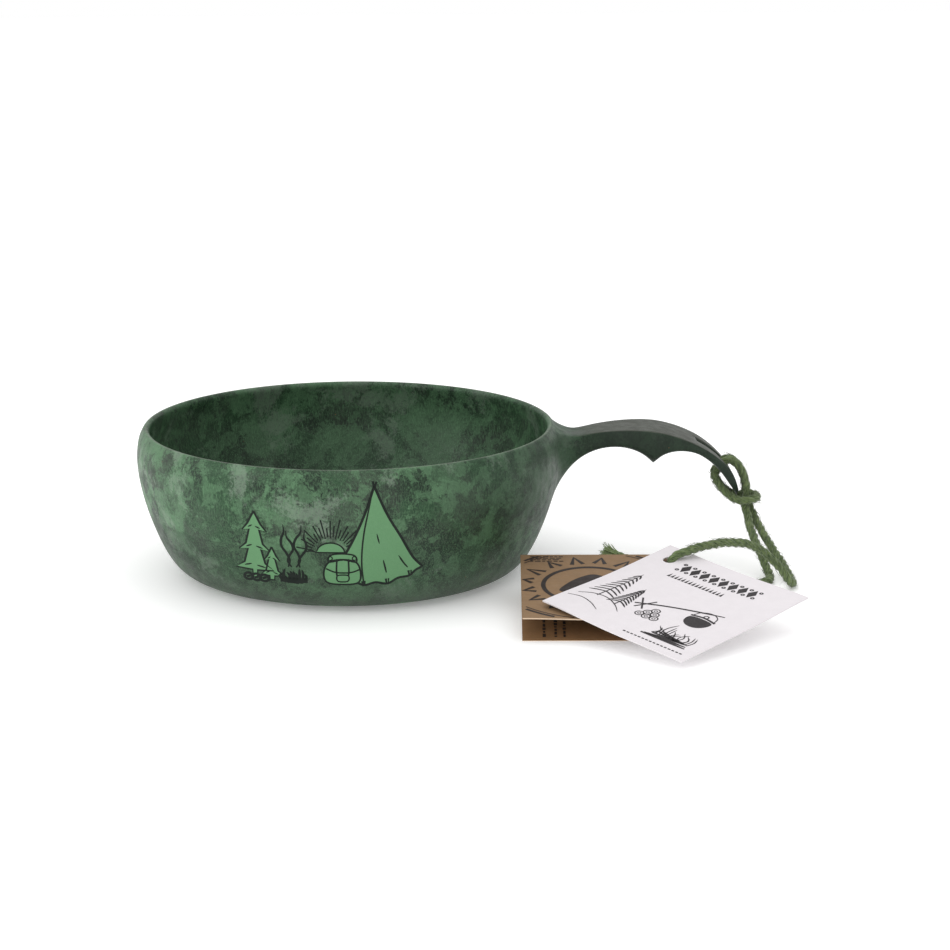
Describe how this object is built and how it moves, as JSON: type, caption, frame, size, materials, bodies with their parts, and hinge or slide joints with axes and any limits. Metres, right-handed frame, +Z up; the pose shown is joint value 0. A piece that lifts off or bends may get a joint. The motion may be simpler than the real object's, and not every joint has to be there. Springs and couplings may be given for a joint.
{
  "type": "kuksa cup",
  "caption": "Round moulded drinking bowl with an arched finger-rest handle, a hitched jute hanging cord and two paper labels.",
  "frame": {"origin": "centre of the flat base, on the surface the cup stands on", "axes": "+Z up, +X from the bowl along the handle; the cup is symmetric about the XZ plane"},
  "size_m": [0.2235, 0.2011, 0.0512],
  "materials": {
    "moulded_composite": "mottled wood-fibre composite, satin, with fine fibre streaks",
    "jute": "dyed twisted jute, matte and slightly hairy",
    "white_card": "smooth white card with dark printed marks",
    "kraft_card": "matte kraft card with dark printed marks"
  },
  "bodies": {
    "cup": {"cup_body": "moulded_composite", "cord_under_strand": "jute", "cord_over_strand": "jute", "cord_knot": "jute"},
    "picture_card": {"picture_card": "white_card"},
    "fold_card_bottom": {"fold_card_bottom_leaf": "kraft_card"},
    "fold_card_top": {"fold_card_top_leaf": "kraft_card"}
  },
  "joints": [
    {"name": "picture_card_swivel", "type": "hinge", "parent": "cup", "child": "picture_card", "pos_m": [0.1054, -0.0551, 0.0151], "axis": [0, -0.165, 0.9863], "range_deg": [-40, 35]},
    {"name": "fold_card_swivel", "type": "hinge", "parent": "cup", "child": "fold_card_bottom", "pos_m": [0.10497, -0.05511, 0.01196], "axis": [-0.0055, -0.1157, 0.9933], "range_deg": [-20, 0]},
    {"name": "fold_card_crease", "type": "hinge", "parent": "fold_card_bottom", "child": "fold_card_top", "pos_m": [0.0567, -0.0405, 0.0134], "axis": [0.9989, -0.0471, 0], "range_deg": [0, 6.5], "stiffness_Nm_per_rad": 0.004, "springref_deg": -6.88}
  ]
}
